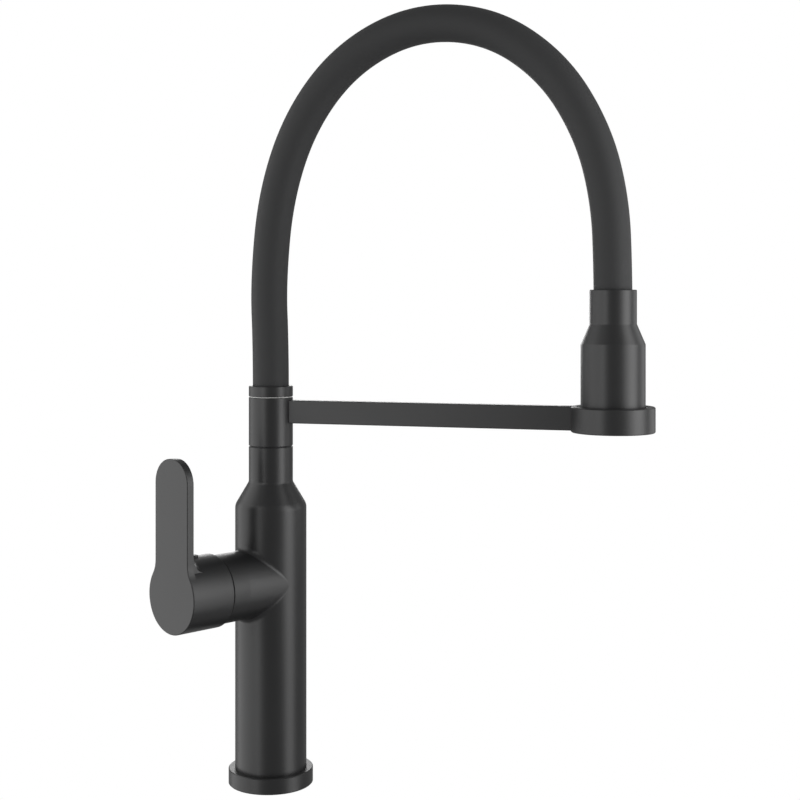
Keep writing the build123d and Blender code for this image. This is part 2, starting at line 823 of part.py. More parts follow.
def make_arm_bar():
    """The flat bar between collar and dock ring, its ends hollowed to fit them."""
    edge = 0.6
    height = ARM_HIGH - ARM_LOW
    bar_from = 9.0
    bar_to = ARM_REACH - 20.0
    skin = 0.01
    with BuildPart() as bar:
        with BuildSketch(across_arm(bar_from, ARM_MIDDLE)):
            RectangleRounded(height, ARM_T, edge)
        extrude(amount=bar_to - bar_from)
        with BuildSketch(Plane.XY.offset(ARM_LOW - CUT_SLACK)):
            Circle(NECK_R + skin)
        extrude(amount=height + 2 * CUT_SLACK, mode=Mode.SUBTRACT)
        with BuildSketch(Plane.XY.offset(ARM_LOW - CUT_SLACK)):
            with Locations((head_foot.X, head_foot.Y)):
                Circle(DOCK_R + skin)
        extrude(amount=height + 2 * CUT_SLACK, mode=Mode.SUBTRACT)
        with BuildSketch(across_arm(bar_from, ARM_STUD_Z)):
            Circle(ARM_STUD_R + THREAD_FIT)
        extrude(amount=ARM_STUD_LONG - 0.2, mode=Mode.SUBTRACT)
        with BuildSketch(across_arm(ARM_REACH - ARM_SCREW_FROM - 0.2, ARM_MIDDLE)):
            Circle(ARM_SCREW_R + THREAD_FIT)
        extrude(amount=ARM_SCREW_FROM - 20.0, mode=Mode.SUBTRACT)
    return bar


def make_dock_ring():
    """The round holder at the arm's end."""
    edge = 0.5
    hole_r = 2.1
    hole_from = 28.0
    head_room_r = 3.6
    head_room_from = 23.4
    outline = [
        (DOCK_BORE_R, DOCK_LOW),
        (DOCK_R - edge, DOCK_LOW),
        (DOCK_R, DOCK_LOW + edge),
        (DOCK_R, ARM_HIGH - edge),
        (DOCK_R - edge, ARM_HIGH),
        (DOCK_BORE_R, ARM_HIGH),
    ]
    with BuildPart() as dock:
        revolve(half_section(outline, HEAD), axis=axis_of(HEAD))
        with BuildSketch(across_arm(ARM_REACH - hole_from, ARM_MIDDLE)):
            Circle(hole_r)
        extrude(amount=8.0, mode=Mode.SUBTRACT)
        with BuildSketch(across_arm(ARM_REACH - head_room_from, ARM_MIDDLE)):
            Circle(head_room_r)
        extrude(amount=4.0, mode=Mode.SUBTRACT)
    return dock


def make_arm_screw():
    """The low-headed socket screw that pulls the dock ring onto the arm."""
    head_r = 3.4
    head_t = 1.2
    socket_r = 1.2
    socket_deep = 1.0
    head_from = ARM_SCREW_FROM - ARM_SCREW_LONG
    with BuildPart() as screw:
        with BuildSketch(across_arm(ARM_REACH - ARM_SCREW_FROM, ARM_MIDDLE)):
            Circle(ARM_SCREW_R)
        extrude(amount=ARM_SCREW_LONG)
        with BuildSketch(across_arm(ARM_REACH - head_from, ARM_MIDDLE)):
            Circle(head_r)
        extrude(amount=head_t)
        with BuildSketch(across_arm(ARM_REACH - head_from - socket_deep, ARM_MIDDLE)):
            RegularPolygon(socket_r, 6)
        extrude(amount=2 * head_t, mode=Mode.SUBTRACT)
    return screw


def make_dock_liner():
    """The plastic bush in the dock ring, with the lip that the spray head stands on."""
    liner_top = ARM_HIGH - 0.3
    lead_in = 0.6
    lead_in_low = ARM_HIGH - 1.2
    lip_top = HEAD_LOW - 0.1
    outline = [
        (LINER_LIP_R, DOCK_LOW),
        (DOCK_BORE_R - RUNNING_GAP, DOCK_LOW),
        (DOCK_BORE_R - RUNNING_GAP, liner_top),
        (LINER_R + lead_in, liner_top),
        (LINER_R, lead_in_low),
        (LINER_R, lip_top),
        (LINER_LIP_R, lip_top),
    ]
    return turned(outline, HEAD)


def make_upper_washer():
    """The white nylon washer that shows as a thin line over the collar."""
    washer_r = 13.6
    return ring(washer_r, HOSE_SEAT_R + 0.1, COLLAR_TOP, NUT_LOW, COLUMN)


def make_hose_nut():
    """The ring nut at the hose's foot, with the seat that the sleeve stands on."""
    edge = 0.3
    bore_r = HOSE_SEAT_R + 0.1
    sleeve_room_r = SLEEVE_R + 0.3
    outline = [
        (bore_r, NUT_LOW),
        (NECK_R - edge, NUT_LOW),
        (NECK_R, NUT_LOW + edge),
        (NECK_R, NUT_TOP - edge),
        (NECK_R - edge, NUT_TOP),
        (sleeve_room_r, NUT_TOP),
        (sleeve_room_r, HOSE_ROUTE[0][1]),
        (bore_r, HOSE_ROUTE[0][1]),
    ]
    return turned(outline, COLUMN)


def arc_radii(route):
    """Each corner's arc radius: its share of the shorter run over the tangent of half the turn."""
    radii = []
    for before, corner, after in zip(route, route[1:], route[2:]):
        run_in = (corner[0] - before[0], corner[1] - before[1])
        run_out = (after[0] - corner[0], after[1] - corner[1])
        turn = atan2(run_out[1], run_out[0]) - atan2(run_in[1], run_in[0])
        turn = abs((turn + pi) % (2 * pi) - pi)
        shorter = min(sqrt(run_in[0] ** 2 + run_in[1] ** 2), sqrt(run_out[0] ** 2 + run_out[1] ** 2))
        radii.append(ARC_SHARE * shorter / max(sin(turn / 2) / cos(turn / 2), 1e-6))
    return radii


def make_hose(name, route, outer_r, bore_r):
    """A tube along the route's runs and arcs; prints its radii, and its volume beside the sum."""
    radii = arc_radii(route)
    with BuildPart() as hose:
        with BuildLine(ARM_PLANE) as path:
            FilletPolyline(*route, radius=radii)
        centre_line = path.wire()
        length = centre_line.length
        with BuildSketch(Plane(origin=centre_line @ 0, z_dir=centre_line % 0)):
            Circle(outer_r)
            Circle(bore_r, mode=Mode.SUBTRACT)
        sweep(path=centre_line)
    section = pi * (outer_r**2 - bore_r**2)
    print(name, "length", round(length, 1), "arc radii", [round(r) for r in radii])
    print(name, "volume", round(hose.part.volume), "section x length", round(section * length))
    return hose


def make_silicone_sleeve():
    """The soft outer hose of the arch."""
    return make_hose("silicone_hose", HOSE_ROUTE, SLEEVE_R, SLEEVE_BORE_R)


def make_water_hose():
    """The water hose inside the sleeve, a little longer at both ends."""
    route = [WATER_HOSE_START, *HOSE_ROUTE[1:-1], WATER_HOSE_END]
    return make_hose("inner_water_hose", route, WATER_HOSE_R, WATER_HOSE_BORE_R)


# ---- spray head ---------------------------------------------------------------------------------
def make_head_shell():
    """The spray head's metal shell: wide grip, cone and neck, with a web inside."""
    edge = 0.4
    hose_room_r = SLEEVE_R + 0.4
    web_r = VALVE_R + 0.1
    outline = [
        (HEAD_MOUTH_R, HEAD_LOW),
        (HEAD_R - edge, HEAD_LOW),
        (HEAD_R, HEAD_LOW + edge),
        (HEAD_R, HEAD_CONE_LOW),
        (HEAD_NECK_R, HEAD_CONE_TOP),
        (HEAD_NECK_R, HEAD_TOP - edge),
        (HEAD_NECK_R - edge, HEAD_TOP),
        (hose_room_r, HEAD_TOP),
        (hose_room_r, HEAD_WEB_TOP),
        (web_r, HEAD_WEB_TOP),
        (web_r, HEAD_WEB_LOW),
        (HEAD_INNER_R, CORE_TOP),
        (HEAD_INNER_R, HEAD_MOUTH_TOP),
        (HEAD_MOUTH_R, HEAD_MOUTH_TOP),
    ]
    shell = turned(outline, HEAD)
    with shell:
        fillet(rims_at(shell, HEAD_CONE_LOW), HEAD_ROUND)
        fillet(rims_at(shell, HEAD_CONE_TOP), HEAD_ROUND)
    return shell


def make_head_seal():
    """The flat seal under the hose's end fitting."""
    seal_r = 11.6
    eye_r = 5.2
    return ring(seal_r, eye_r, HEAD_WEB_TOP, HEAD_WEB_TOP + SEAL_T, HEAD)


def make_hose_end_fitting():
    """The brass fitting crimped to the hose's end, screwed into the spray head's neck."""
    fitting_r = 11.7
    bore_r = 5.0
    hose_room_r = WATER_HOSE_R + 0.3
    low = HEAD_WEB_TOP + SEAL_T
    outline = [
        (bore_r, low),
        (fitting_r, low),
        (fitting_r, HOSE_ROUTE[-1][1]),
        (hose_room_r, HOSE_ROUTE[-1][1]),
        (hose_room_r, WATER_HOSE_END[1]),
        (bore_r, WATER_HOSE_END[1]),
    ]
    return turned(outline, HEAD)


def make_check_valve_cage():
    """The non-return valve's cage: a seat above and a guide with three windows below."""
    floor_t = 2.0
    chamber_r = 6.2
    seat_r = 4.4
    seat_foot = 286.6
    seat_top = 288.0
    window_r = 1.6
    window_ring_r = 4.2
    outline = [
        (GUIDE_R, VALVE_LOW),
        (VALVE_R, VALVE_LOW),
        (VALVE_R, HEAD_WEB_TOP),
        (seat_r, HEAD_WEB_TOP),
        (seat_r, seat_top),
        (chamber_r, seat_foot),
        (chamber_r, VALVE_LOW + floor_t),
        (GUIDE_R, VALVE_LOW + floor_t),
    ]
    with BuildPart() as cage:
        revolve(half_section(outline, HEAD), axis=axis_of(HEAD))
        with BuildSketch(at(HEAD, 0, VALVE_LOW - CUT_SLACK)):
            with PolarLocations(window_ring_r, 3):
                Circle(window_r)
        extrude(amount=floor_t + 2 * CUT_SLACK, mode=Mode.SUBTRACT)
    return cage


def make_check_valve_poppet():
    """The non-return valve's poppet, closed against its seat."""
    stem_low = 272.6
    stem_r = GUIDE_R - 0.1
    disc_r = 5.2
    tip_r = 3.6
    outline = [
        (0.0, stem_low),
        (stem_r, stem_low),
        (stem_r, 284.0),
        (disc_r, 285.2),
        (disc_r, 286.6),
        (tip_r, 287.8),
        (0.0, 287.8),
    ]
    return turned(outline, HEAD)


def make_nozzle_core():
    """The plastic core that leads the water from the valve to the outlet."""
    valve_room_r = VALVE_R + 0.2
    core_r = HEAD_INNER_R - 0.1
    crown_r = 11.0
    crown_low = 276.0
    throat_r = 6.0
    throat_low = 262.0
    bell_r = AERATOR_R + 0.2
    bell_top = 258.0
    outline = [
        (valve_room_r, 272.6),
        (valve_room_r, CORE_TOP),
        (crown_r, CORE_TOP),
        (core_r, crown_low),
        (core_r, HEAD_MOUTH_TOP),
        (bell_r, HEAD_MOUTH_TOP),
        (bell_r, bell_top),
        (throat_r, throat_low),
        (throat_r, CORE_LOW),
        (valve_room_r, CORE_LOW),
    ]
    return turned(outline, HEAD)


def make_aerator():
    """The aerator: a perforated plate over a short mixing tube."""
    tube_bore_r = 9.2
    plate_t = 2.5
    plate_low = AERATOR_TOP - plate_t
    hole_r = 0.8
    outline = [
        (0.0, AERATOR_TOP),
        (AERATOR_R, AERATOR_TOP),
        (AERATOR_R, AERATOR_LOW),
        (tube_bore_r, AERATOR_LOW),
        (tube_bore_r, plate_low),
        (0.0, plate_low),
    ]
    with BuildPart() as aerator:
        revolve(half_section(outline, HEAD), axis=axis_of(HEAD))
        with BuildSketch(at(HEAD, 0, plate_low - CUT_SLACK / 2)):
            with PolarLocations(6.2, 10):
                Circle(hole_r)
            with PolarLocations(3.2, 5):
                Circle(hole_r)
        extrude(amount=plate_t + CUT_SLACK, mode=Mode.SUBTRACT)
    return aerator


def make_aerator_screen():
    """The outlet grid of the aerator."""
    screen_r = 9.1
    screen_t = 1.5
    pitch = 2.4
    opening = 1.7
    with BuildPart() as screen:
        with BuildSketch(at(HEAD, 0, AERATOR_LOW + 1.0)):
            Circle(screen_r)
            with GridLocations(pitch, pitch, 5, 5):
                Rectangle(opening, opening, mode=Mode.SUBTRACT)
        extrude(amount=screen_t)
    return screen


def make_spray_face():
    """The ring that closes the spray head round the aerator, with its spray holes."""
    inner_r = AERATOR_R + 0.1
    outer_r = HEAD_MOUTH_R - 0.2
    face_top = HEAD_MOUTH_TOP - 0.1
    hole_ring_r = 14.0
    with BuildPart() as face:
        add(ring(outer_r, inner_r, FACE_LOW, face_top, HEAD).part)
        with BuildSketch(at(HEAD, 0, FACE_LOW - CUT_SLACK)):
            with PolarLocations(hole_ring_r, 18):
                Circle(SPRAY_HOLE_R)
        extrude(amount=face_top - FACE_LOW + 2 * CUT_SLACK, mode=Mode.SUBTRACT)
    return face


# ---- fixings under the worktop ------------------------------------------------------------------
def make_mounting_stud():
    """The threaded rod from the base plug down through the worktop."""
    stud_top = STUD_HOLE - 0.2
    tip_cut = 0.8
    with BuildPart() as stud:
        with BuildSketch(Plane.XY.offset(DECK_STUD_LOW)):
            with Locations((STUD_X, 0)):
                Circle(DECK_STUD_R)
        extrude(amount=stud_top - DECK_STUD_LOW)
        tip = stud.edges().filter_by(GeomType.CIRCLE).sort_by(Axis.Z)[0]
        chamfer(tip, tip_cut)
    return stud


def make_horseshoe(top, thickness):
    """A round plate with a slot for the hoses and a hole for the stud."""
    slot_end = STUD_X - 7.0
    corner = 5.0
    stud_play = 0.3
    with BuildPart() as plate:
        with BuildSketch(Plane.XY.offset(top - thickness)):
            Circle(HORSESHOE_R)
            with Locations((slot_end - HORSESHOE_R, 0)):
                RectangleRounded(2 * HORSESHOE_R, HORSESHOE_SLOT, corner, mode=Mode.SUBTRACT)
            with Locations((STUD_X, 0)):
                Circle(DECK_STUD_R + stud_play, mode=Mode.SUBTRACT)
        extrude(amount=thickness)
    return plate


def make_horseshoe_gasket():
    """The rubber plate against the worktop's underside."""
    return make_horseshoe(HORSESHOE_TOP, RUBBER_T)


def make_horseshoe_washer():
    """The steel plate under the rubber one."""
    return make_horseshoe(HORSESHOE_TOP - RUBBER_T, STEEL_T)


def make_stud_nut():
    """The long hexagon nut on the stud."""
    skin = 0.01
    with BuildPart() as nut:
        with BuildSketch(Plane.XY.offset(HORSESHOE_TOP - RUBBER_T - STEEL_T - STUD_NUT_LONG)):
            with Locations((STUD_X, 0)):
                RegularPolygon(STUD_NUT_FLAT, 6, major_radius=False)
                Circle(DECK_STUD_R + skin, mode=Mode.SUBTRACT)
        extrude(amount=STUD_NUT_LONG)
    return nut


PIECES = {
    "base_flange": make_base_flange,
    "base_gasket": make_base_gasket,
    "base_insert": make_base_insert,
    "body_shell": make_body_shell,
    "inlet_tubes": make_inlet_tubes,
    "cartridge_base": make_cartridge_base,
    "port_seals": make_port_seals,
    "fixed_disc": make_fixed_disc,
    "moving_disc": make_moving_disc,
    "disc_carrier": make_disc_carrier,
    "cartridge_housing": make_cartridge_housing,
    "cartridge_nut": make_cartridge_nut,
    "trim_dome": make_trim_dome,
    "stem_rotor": make_stem_rotor,
    "pivot_pin": make_pivot_pin,
    "cartridge_stem": make_cartridge_stem,
    "lever_handle": make_lever_handle,
    "grub_screw": make_grub_screw,
    "screw_plug": make_screw_plug,
    "lower_washer": make_lower_washer,
    "swivel_spindle": make_swivel_spindle,
    "spindle_seals": make_spindle_seals,
    "spindle_clip": make_spindle_clip,
    "swivel_collar": make_swivel_collar,
    "arm_stud": make_arm_stud,
    "arm_bar": make_arm_bar,
    "dock_ring": make_dock_ring,
    "arm_screw": make_arm_screw,
    "dock_liner": make_dock_liner,
    "upper_washer": make_upper_washer,
    "hose_nut": make_hose_nut,
    "silicone_hose": make_silicone_sleeve,
    "inner_water_hose": make_water_hose,
    "head_shell": make_head_shell,
    "head_seal": make_head_seal,
    "hose_end_fitting": make_hose_end_fitting,
    "check_valve_cage": make_check_valve_cage,
    "check_valve_poppet": make_check_valve_poppet,
    "nozzle_core": make_nozzle_core,
    "aerator": make_aerator,
    "aerator_screen": make_aerator_screen,
    "spray_face": make_spray_face,
    "mounting_stud": make_mounting_stud,
    "horseshoe_gasket": make_horseshoe_gasket,
    "horseshoe_washer": make_horseshoe_washer,
    "stud_nut": make_stud_nut,
}

os.makedirs("parts", exist_ok=True)
for name, make in PIECES.items():
    piece = make()
    piece.part.label = name
    export_step(piece.part, f"parts/{name}.step")
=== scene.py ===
"""A pull-down kitchen tap in satin black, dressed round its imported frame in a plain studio."""

import json
import logging
import math
from dataclasses import dataclass, field
from enum import Enum

import bpy
import numpy as np
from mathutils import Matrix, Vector


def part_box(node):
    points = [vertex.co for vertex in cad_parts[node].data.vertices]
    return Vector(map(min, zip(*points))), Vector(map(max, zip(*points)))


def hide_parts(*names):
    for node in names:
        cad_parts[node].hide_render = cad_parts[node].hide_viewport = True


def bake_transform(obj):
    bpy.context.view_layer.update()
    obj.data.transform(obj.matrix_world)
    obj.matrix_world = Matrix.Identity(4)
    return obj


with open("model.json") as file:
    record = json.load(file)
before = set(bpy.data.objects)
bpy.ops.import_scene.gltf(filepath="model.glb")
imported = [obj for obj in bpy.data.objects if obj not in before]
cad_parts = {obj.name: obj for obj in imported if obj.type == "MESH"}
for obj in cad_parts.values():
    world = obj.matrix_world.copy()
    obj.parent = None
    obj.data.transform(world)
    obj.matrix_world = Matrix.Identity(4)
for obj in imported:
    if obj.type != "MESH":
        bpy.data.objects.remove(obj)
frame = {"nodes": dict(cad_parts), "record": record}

LOG = logging.getLogger("tap")
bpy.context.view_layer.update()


class Slot(Enum):
    """The record's material slots."""

    BLACK = "black_finish"
    SILICONE = "black_silicone"
    BRASS = "brass"
    STEEL = "stainless"
    CERAMIC = "ceramic"
    BLACK_PLASTIC = "black_plastic"
    NYLON = "white_nylon"
    SEAL = "seal_rubber"
    COPPER = "copper_tube"
    GREY_PLASTIC = "grey_plastic"


class Body(Enum):
    """The names of two of the tap's bodies, the spout and the spray head."""

    SPOUT = "spout"
    HEAD = "spray_head"


# ---- shader graphs ------------------------------------------------------------------------------
class Wire:
    """A shader socket that takes part in arithmetic, each operation adding one Math node."""

    def __init__(self, graph: "Graph", socket: bpy.types.NodeSocket) -> None:
        """Keep the graph that owns the socket, and the socket."""
        self.graph = graph
        self.socket = socket

    def __add__(self, other: "Wire | float") -> "Wire":
        """The sum."""
        return self.graph.math("ADD", self, other)

    def __radd__(self, other: float) -> "Wire":
        """The sum, from a number on the left."""
        return self.graph.math("ADD", other, self)

    def __sub__(self, other: "Wire | float") -> "Wire":
        """The difference."""
        return self.graph.math("SUBTRACT", self, other)

    def __mul__(self, other: "Wire | float") -> "Wire":
        """The product."""
        return self.graph.math("MULTIPLY", self, other)


class Graph:
    """One material and the nodes in it."""

    def __init__(self, name: str) -> None:
        """Start an empty material.

        Args:
            name: the material's name.
        """
        self.material = bpy.data.materials.new(name)
        self.material.use_nodes = True
        self.tree = self.material.node_tree
        self.tree.nodes.clear()

    def node(
        self, kind: str, settings: dict | None = None, inputs: dict | None = None
    ) -> bpy.types.Node:
        """Add a node.

        Args:
            kind: the node's type.
            settings: its properties, set before its sockets.
            inputs: values or wires by socket name or number.

        Returns:
            The new node.
        """
        made = self.tree.nodes.new(kind)
        for key, value in (settings or {}).items():
            setattr(made, key, value)
        for key, value in (inputs or {}).items():
            if isinstance(value, Wire):
                self.tree.links.new(value.socket, made.inputs[key])
            else:
                made.inputs[key].default_value = value
        return made

    def out(self, node: bpy.types.Node, name: str | int = 0) -> Wire:
        """One of a node's outputs, as a wire."""
        return Wire(self, node.outputs[name])

    def math(self, operation: str, a: "Wire | float", b: "Wire | float") -> Wire:
        """A Math node on two values."""
        return self.out(self.node("ShaderNodeMath", {"operation": operation}, {0: a, 1: b}))

    def coords(self) -> Wire:
        """The object's own coordinates, in metres."""
        return self.out(self.node("ShaderNodeTexCoord"), "Object")

    def noise(self, size: float, detail: float = 2.0, stretch: tuple | None = None) -> Wire:
        """Soft noise between 0 and 1.

        Args:
            size: the width of its spots in metres.
            detail: octaves.
            stretch: scale of the coordinates along X, Y and Z before the noise.

        Returns:
            The noise value.
        """
        place = self.coords()
        if stretch:
            mapped = self.node("ShaderNodeMapping", {}, {"Vector": place, "Scale": stretch})
            place = self.out(mapped)
        made = self.node(
            "ShaderNodeTexNoise", {}, {"Vector": place, "Scale": 1.0 / size, "Detail": detail}
        )
        return self.out(made, "Fac")

    def mix(self, factor: Wire, low: tuple, high: tuple) -> Wire:
        """A colour between two colours."""
        ends = {6: (*low, 1.0), 7: (*high, 1.0)}
        made = self.node("ShaderNodeMix", {"data_type": "RGBA"}, {"Factor": factor, **ends})
        return self.out(made, 2)

    def bump(self, height: Wire, depth: float, under: Wire | None = None) -> Wire:
        """A bump normal from a height of 0 to 1 that stands for depth in metres."""
        inputs = {"Height": height, "Distance": depth, "Strength": 1.0}
        if under is not None:
            inputs["Normal"] = under
        return self.out(self.node("ShaderNodeBump", {}, inputs))

    def surface(self, constants: dict, wires: dict) -> bpy.types.Material:
        """Finish the material with a Principled surface.

        Args:
            constants: plain values by socket name.
            wires: varying inputs by socket name.

        Returns:
            The material.
        """
        shader = self.node("ShaderNodeBsdfPrincipled", {}, {**constants, **wires})
        self.node("ShaderNodeOutputMaterial", {}, {"Surface": self.out(shader)})
        return self.material


# ---- finishes -----------------------------------------------------------------------------------
@dataclass(frozen=True)
class SatinBlack:
    """The tap's satin black coating: nearly black, softly mottled, with a fine grain."""

    dark: tuple = (0.0090, 0.0092, 0.0096)
    light: tuple = (0.0140, 0.0142, 0.0146)
    roughness: float = 0.37
    roughness_spread: float = 0.07
    cloud: float = 0.022
    peel: float = 0.0016
    peel_depth: float = 0.000008
    grain: float = 0.00035
    grain_depth: float = 0.000006
    grain_spread: float = 0.08
    cloud_share: float = 0.6

    def material(self) -> bpy.types.Material:
        """Build the coating's material."""
        g = Graph("satin_black")
        cloud = g.noise(self.cloud, 4.0)
        peel = g.noise(self.peel, 2.0)
        grain = g.noise(self.grain, 2.0)
        tone = cloud * self.cloud_share + grain * (1.0 - self.cloud_share)
        cloudy = (cloud - 0.5) * self.roughness_spread
        rough = self.roughness + cloudy + (grain - 0.5) * self.grain_spread
        normal = g.bump(grain, self.grain_depth, g.bump(peel, self.peel_depth))
        return g.surface(
            {"Specular IOR Level": 0.5, "IOR": 1.5},
            {
                "Base Color": g.mix(tone, self.dark, self.light),
                "Roughness": rough,
                "Normal": normal,
            },
        )


@dataclass(frozen=True)
class MatteSilicone:
    """The hose's sleeve: even and very matte, with a fine dusty grain and faint length streaks."""

    dark: tuple = (0.0215, 0.0218, 0.0225)
    light: tuple = (0.0295, 0.0298, 0.0305)
    roughness: float = 0.68
    grain: float = 0.0005
    grain_depth: float = 0.00003
    streak: float = 0.004
    streak_spread: float = 0.12

    def material(self) -> bpy.types.Material:
        """Build the sleeve's material."""
        g = Graph("matte_silicone")
        grain = g.noise(self.grain, 3.0)
        streak = g.noise(self.streak, 3.0)
        tone = grain * 0.5 + streak * 0.5
        normal = g.bump(grain, self.grain_depth)
        rough = self.roughness + (streak - 0.5) * self.streak_spread
        return g.surface(
            {"Specular IOR Level": 0.35, "Sheen Weight": 0.03, "Sheen Roughness": 0.5},
            {
                "Base Color": g.mix(tone, self.dark, self.light),
                "Roughness": rough,
                "Normal": normal,
            },
        )


@dataclass(frozen=True)
class MachinedMetal:
    """A turned or drawn metal with fine tool lines and a little tarnish."""

    name: str
    clean: tuple
    dull: tuple
    roughness: float = 0.3
    line: float = 0.0004
    line_depth: float = 0.00001
    line_spread: float = 0.15
    tarnish: float = 0.008
    tarnish_spread: float = 0.2

    def material(self) -> bpy.types.Material:
        """Build the metal's material."""
        g = Graph(self.name)
        lines = g.noise(self.line, 2.0, (0.15, 0.15, 1.0))
        tarnish = g.noise(self.tarnish, 4.0)
        tooled = (lines - 0.5) * self.line_spread
        rough = self.roughness + tooled + (tarnish - 0.5) * self.tarnish_spread
        return g.surface(
            {"Metallic": 1.0},
            {
                "Base Color": g.mix(tarnish, self.clean, self.dull),
                "Roughness": rough,
                "Normal": g.bump(lines, self.line_depth),
            },
        )


@dataclass(frozen=True)
class MouldedPlastic:
    """A moulded or sintered solid: an even colour with cloudy flow marks and a fine skin."""

    name: str
    dark: tuple
    light: tuple
    roughness: float = 0.45
    skin: float = 0.0006
    skin_depth: float = 0.000012
    flow: float = 0.006
    spread: float = 0.1
    flow_share: float = 0.7

    def material(self) -> bpy.types.Material:
        """Build the plastic's material."""
        g = Graph(self.name)
        skin = g.noise(self.skin, 2.0)
        flow = g.noise(self.flow, 3.0)
        rough = self.roughness + (flow - 0.5) * self.spread + (skin - 0.5) * self.spread
        tone = flow * self.flow_share + skin * (1.0 - self.flow_share)
        return g.surface(
            {},
            {
                "Base Color": g.mix(tone, self.dark, self.light),
                "Roughness": rough,
                "Normal": g.bump(skin, self.skin_depth),
            },
        )


def make_finishes() -> dict[Slot, bpy.types.Material]:
    """Build every finish once.

    Returns:
        The material of each slot.
    """
    return {
        Slot.BLACK: SatinBlack().material(),
        Slot.SILICONE: MatteSilicone().material(),
        Slot.BRASS: MachinedMetal(
            "machined_brass", (0.62, 0.43, 0.17), (0.42, 0.27, 0.1)
        ).material(),
        Slot.STEEL: MachinedMetal("bright_steel", (0.6, 0.6, 0.6), (0.42, 0.42, 0.43)).material(),
        Slot.COPPER: MachinedMetal("drawn_copper", (0.66, 0.3, 0.17), (0.4, 0.16, 0.09)).material(),
        Slot.CERAMIC: MouldedPlastic(
            "ground_ceramic", (0.72, 0.7, 0.66), (0.82, 0.81, 0.77), 0.25
        ).material(),
        Slot.BLACK_PLASTIC: MouldedPlastic(
            "black_acetal", (0.012, 0.012, 0.013), (0.022, 0.022, 0.023), 0.5
        ).material(),
        Slot.NYLON: MouldedPlastic(
            "white_nylon", (0.7, 0.7, 0.68), (0.82, 0.82, 0.8), 0.4
        ).material(),
        Slot.SEAL: MouldedPlastic(
            "seal_rubber", (0.01, 0.01, 0.01), (0.02, 0.02, 0.02), 0.62
        ).material(),
        Slot.GREY_PLASTIC: MouldedPlastic(
            "grey_plastic", (0.24, 0.25, 0.27), (0.33, 0.34, 0.36), 0.5
        ).material(),
    }


# ---- surfaces -----------------------------------------------------------------------------------
def grid_object(name: str, points: np.ndarray) -> bpy.types.Object:
    """Make an object from a grid of points whose columns close round into a loop.

    Args:
        name: the object's name.
        points: array (rows, columns, 3), in metres. Rows run along the piece, columns round it.

    Returns:
        The object, smooth shaded, with open ends closed by a fan.
    """
    rows, columns = points.shape[:2]
    r, c = np.meshgrid(np.arange(rows - 1), np.arange(columns), indexing="ij")
    below = r + 1
    beside = (c + 1) % columns
    near = (r * columns + c, r * columns + beside)
    far = (below * columns + beside, below * columns + c)
    faces = np.stack((*near, *far), axis=-1).reshape(-1, 4).tolist()
    faces.append(list(range(columns))[::-1])
    faces.append(list(range((rows - 1) * columns, rows * columns)))
    mesh = bpy.data.meshes.new(name)
    mesh.from_pydata(points.reshape(-1, 3).tolist(), [], faces)
    mesh.update()
    mesh.shade_smooth()
    made = bpy.data.objects.new(name, mesh)
    bpy.context.scene.collection.objects.link(made)
    return made


def dress(piece: bpy.types.Object, material: bpy.types.Material) -> None:
    """Give a piece one material."""
    piece.data.materials.clear()
    piece.data.materials.append(material)


def tube_points(line: np.ndarray, side: np.ndarray, radii: np.ndarray, columns: int) -> np.ndarray:
    """Rings square to a flat line.

    Each ring's point at angle t is centre + radius * (cos t * side + sin t * up), where side is the
    line's plane normal and up the line's direction turned into that plane.

    Args:
        line: centres, array (rows, 3).
        side: unit normal of the plane that the line lies in.
        radii: each ring's radius, array (rows).
        columns: points in a ring.

    Returns:
        Array (rows, columns, 3).
    """
    along = np.gradient(line, axis=0)
    along /= np.linalg.norm(along, axis=1, keepdims=True)
    up = np.cross(along, side)
    t = np.linspace(0.0, 2.0 * np.pi, columns, endpoint=False)
    across = np.cos(t)[None, :, None] * side[None, None, :]
    ring = across + np.sin(t)[None, :, None] * up[:, None, :]
    return line[:, None, :] + radii[:, None, None] * ring


def evened(line: np.ndarray, step: float) -> np.ndarray:
    """A line's points at even steps along its length."""
    lengths = np.concatenate(([0.0], np.cumsum(np.linalg.norm(np.diff(line, axis=0), axis=1))))
    count = int(round(lengths[-1] / step)) + 1
    wanted = np.linspace(0.0, lengths[-1], count)
    return np.stack([np.interp(wanted, lengths, line[:, k]) for k in range(3)], axis=1)


# ---- sub-assemblies -----------------------------------------------------------------------------
@dataclass
class Arm:
    """The arm's direction, from the column's axis to the dock ring's."""

    dock: Vector = field(default_factory=lambda: sum(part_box("dock_ring"), Vector()) / 2)

    def direction(self) -> np.ndarray:
        """The level unit vector along the arm."""
        flat = np.array([self.dock.x, self.dock.y, 0.0])
        return flat / np.linalg.norm(flat)

    def side(self) -> np.ndarray:
        """The level unit vector square to the arm."""
        return np.cross(self.direction(), (0.0, 0.0, 1.0))

    def point(self, along: float, height: float) -> np.ndarray:
        """A point in the arm's upright plane, from distance and height in metres."""
        return self.direction() * along + np.array([0.0, 0.0, height])


